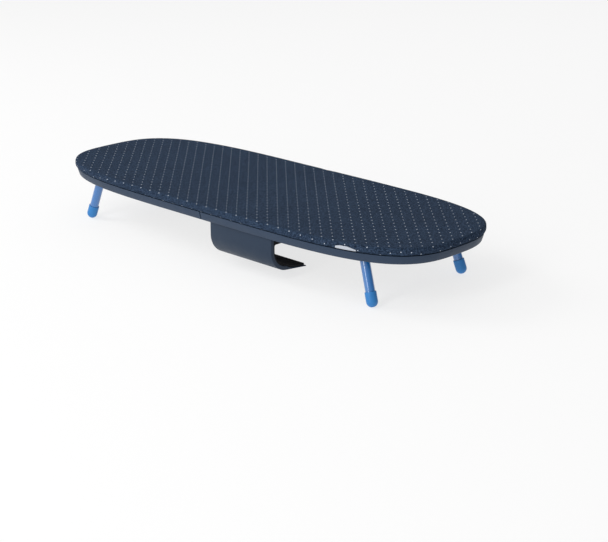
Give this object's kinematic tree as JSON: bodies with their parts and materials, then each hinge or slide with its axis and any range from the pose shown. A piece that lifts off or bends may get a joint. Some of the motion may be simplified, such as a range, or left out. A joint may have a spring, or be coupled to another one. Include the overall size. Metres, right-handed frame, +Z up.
{
  "type": "table-top ironing board",
  "caption": "Fold-in-half table-top ironing board with a padded cloth cover, moulded base frames, folding bent-tube legs and a hook under the front edge.",
  "frame": {"origin": "on the table under the middle of the board, on the fold line", "axes": "+X along the board towards the half that carries the hook, +Y towards the back edge (the hook is at the front, -Y), +Z up"},
  "size_m": [0.9, 0.33, 0.11],
  "materials": {
    "cover_cloth": "matt woven cotton with small white dots",
    "felt": "matt felt",
    "panel_steel": "satin grey paint",
    "frame_plastic": "satin moulded navy",
    "lining_rubber": "matt black rubber",
    "leg_paint": "glossy blue paint",
    "foot_plastic": "satin blue",
    "bracket_plastic": "satin moulded navy",
    "hinge_steel": "zinc plated",
    "screw_steel": "zinc plated",
    "latch_plastic": "satin blue",
    "label_cloth": "blank woven tape"
  },
  "bodies": {
    "right_half": {"cover_right": "cover_cloth", "felt_pad_right": "felt", "mesh_panel_right": "panel_steel", "base_frame_right": "frame_plastic", "axle_bracket_right_back": "bracket_plastic", "leg_clip_right_back": "bracket_plastic", "bracket_screw_right_back_inner": "screw_steel", "bracket_screw_right_back_outer": "screw_steel", "hinge_leaf_right_back": "hinge_steel", "leaf_screw_right_back_a": "screw_steel", "leaf_screw_right_back_b": "screw_steel", "axle_bracket_right_front": "bracket_plastic", "leg_clip_right_front": "bracket_plastic", "bracket_screw_right_front_inner": "screw_steel", "bracket_screw_right_front_outer": "screw_steel", "hinge_leaf_right_front": "hinge_steel", "leaf_screw_right_front_a": "screw_steel", "leaf_screw_right_front_b": "screw_steel", "hinge_pin_back": "hinge_steel", "hinge_pin_front": "hinge_steel", "door_hook": "frame_plastic", "hook_lining": "lining_rubber", "hook_screw_1": "screw_steel", "hook_screw_2": "screw_steel", "hook_screw_3": "screw_steel", "latch_pivot": "screw_steel", "side_label": "label_cloth"},
    "left_half": {"cover_left": "cover_cloth", "felt_pad_left": "felt", "mesh_panel_left": "panel_steel", "base_frame_left": "frame_plastic", "axle_bracket_left_back": "bracket_plastic", "leg_clip_left_back": "bracket_plastic", "bracket_screw_left_back_inner": "screw_steel", "bracket_screw_left_back_outer": "screw_steel", "hinge_leaf_left_back": "hinge_steel", "leaf_screw_left_back_a": "screw_steel", "leaf_screw_left_back_b": "screw_steel", "axle_bracket_left_front": "bracket_plastic", "leg_clip_left_front": "bracket_plastic", "bracket_screw_left_front_inner": "screw_steel", "bracket_screw_left_front_outer": "screw_steel", "hinge_leaf_left_front": "hinge_steel", "leaf_screw_left_front_a": "screw_steel", "leaf_screw_left_front_b": "screw_steel", "seam_dowel_back": "bracket_plastic", "seam_dowel_front": "bracket_plastic", "latch_stud": "screw_steel"},
    "right_legs": {"leg_frame_right": "leg_paint", "foot_cap_right_back": "foot_plastic", "foot_cap_right_front": "foot_plastic"},
    "left_legs": {"leg_frame_left": "leg_paint", "foot_cap_left_back": "foot_plastic", "foot_cap_left_front": "foot_plastic"},
    "latch_lever": {"latch_lever": "latch_plastic"}
  },
  "joints": [
    {"name": "board_fold", "type": "hinge", "parent": "right_half", "child": "left_half", "pos_m": [0, 0, 0.1065], "axis": [0, 1, 0], "range_deg": [0, 170]},
    {"name": "right_leg_fold", "type": "hinge", "parent": "right_half", "child": "right_legs", "pos_m": [0.3354, 0, 0.0875], "axis": [0, 1, 0], "range_deg": [0, 109]},
    {"name": "left_leg_fold", "type": "hinge", "parent": "left_half", "child": "left_legs", "pos_m": [-0.3354, 0, 0.0875], "axis": [0, -1, 0], "range_deg": [0, 109]},
    {"name": "latch_turn", "type": "hinge", "parent": "right_half", "child": "latch_lever", "pos_m": [0.03, 0, 0.0786], "axis": [0, 0, 1], "range_deg": [0, 35]}
  ]
}
